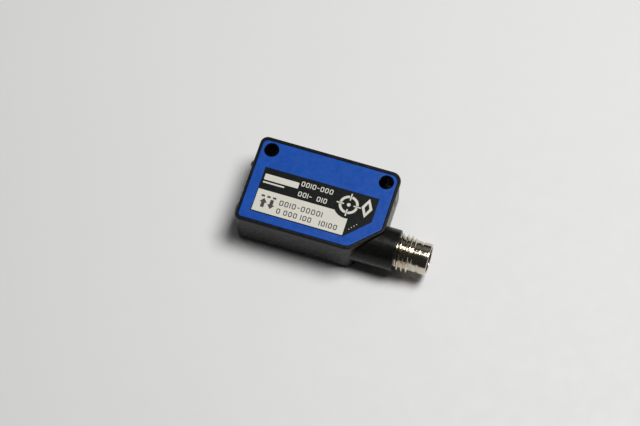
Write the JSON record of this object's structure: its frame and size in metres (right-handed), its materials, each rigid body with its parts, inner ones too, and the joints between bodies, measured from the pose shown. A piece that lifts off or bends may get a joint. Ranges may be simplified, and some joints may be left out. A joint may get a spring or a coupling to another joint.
{
  "type": "photoelectric sensor",
  "caption": "Miniature photoelectric sensor: flat rectangular housing with a side cover, front window, teach-in button and a round threaded plug.",
  "frame": {"origin": "on the flat mounting side opposite the label, midway between the axes of the two screw holes", "axes": "+Z from the mounting side to the label side, +X along the housing towards the connector, +Y towards the optical front window"},
  "size_m": [0.0425, 0.02, 0.011],
  "materials": {
    "black_abs": "fine satin texture",
    "blue_abs": "satin",
    "label_film": "satin print, black and off-white fields",
    "black_button": "satin",
    "clear_acrylic": "clear, dark red tint, gloss",
    "lens_acrylic": "clear, polished",
    "polarising_film": "grey film",
    "splitter_glass": "half-silvered",
    "light_guide": "smoky, clear, gloss",
    "circuit_board": "green solder mask",
    "chip_epoxy": "matt moulding",
    "capacitor_ceramic": "fired ceramic with tinned ends",
    "resistor_ceramic": "glazed top with tinned ends",
    "tantalum": "satin moulding",
    "led_clear": "clear resin",
    "switch_steel": "stamped cover",
    "nickel": "nickel plate over brass",
    "gold": "gold plate",
    "rubber": "matt"
  },
  "bodies": {
    "sensor": {"housing": "black_abs", "side_cover": "blue_abs", "type_label": "label_film", "front_window": "clear_acrylic", "optics_carrier": "black_abs", "collimator_lens": "lens_acrylic", "beam_splitter": "splitter_glass", "emitter_polariser": "polarising_film", "receiver_polariser": "polarising_film", "emitter_led": "led_clear", "receiver_photodiode": "chip_epoxy", "main_board": "circuit_board", "signal_chip": "chip_epoxy", "voltage_regulator": "chip_epoxy", "output_transistor_high": "chip_epoxy", "output_transistor_low": "chip_epoxy", "protection_diode": "chip_epoxy", "tantalum_capacitor": "tantalum", "capacitor_1": "capacitor_ceramic", "capacitor_2": "capacitor_ceramic", "capacitor_3": "capacitor_ceramic", "capacitor_4": "capacitor_ceramic", "resistor_1": "resistor_ceramic", "resistor_2": "resistor_ceramic", "resistor_3": "resistor_ceramic", "resistor_4": "resistor_ceramic", "status_led_yellow": "led_clear", "status_led_green": "led_clear", "light_guide_yellow": "light_guide", "light_guide_green": "light_guide", "button_seal": "rubber", "switch_body": "switch_steel", "connector_sleeve": "nickel", "contact_carrier": "black_abs", "connector_board": "circuit_board", "contact_pin_1": "gold", "contact_pin_2": "gold", "contact_pin_3": "gold", "contact_pin_4": "gold", "carrier_seal_ring": "rubber"},
    "button": {"teach_button": "black_button"},
    "plunger": {"switch_plunger": "black_button"}
  },
  "joints": [
    {"name": "button_press", "type": "slide", "parent": "sensor", "child": "button", "axis": [1, 0, 0], "range_m": [0, 0.0004], "stiffness_N_per_m": 1000, "springref_m": -0.0003},
    {"name": "plunger_press", "type": "slide", "parent": "sensor", "child": "plunger", "axis": [1, 0, 0], "range_m": [0, 0.0004]}
  ],
  "couplings": [
    {"joint": "plunger_press", "follows": "button_press", "ratio": 1}
  ]
}
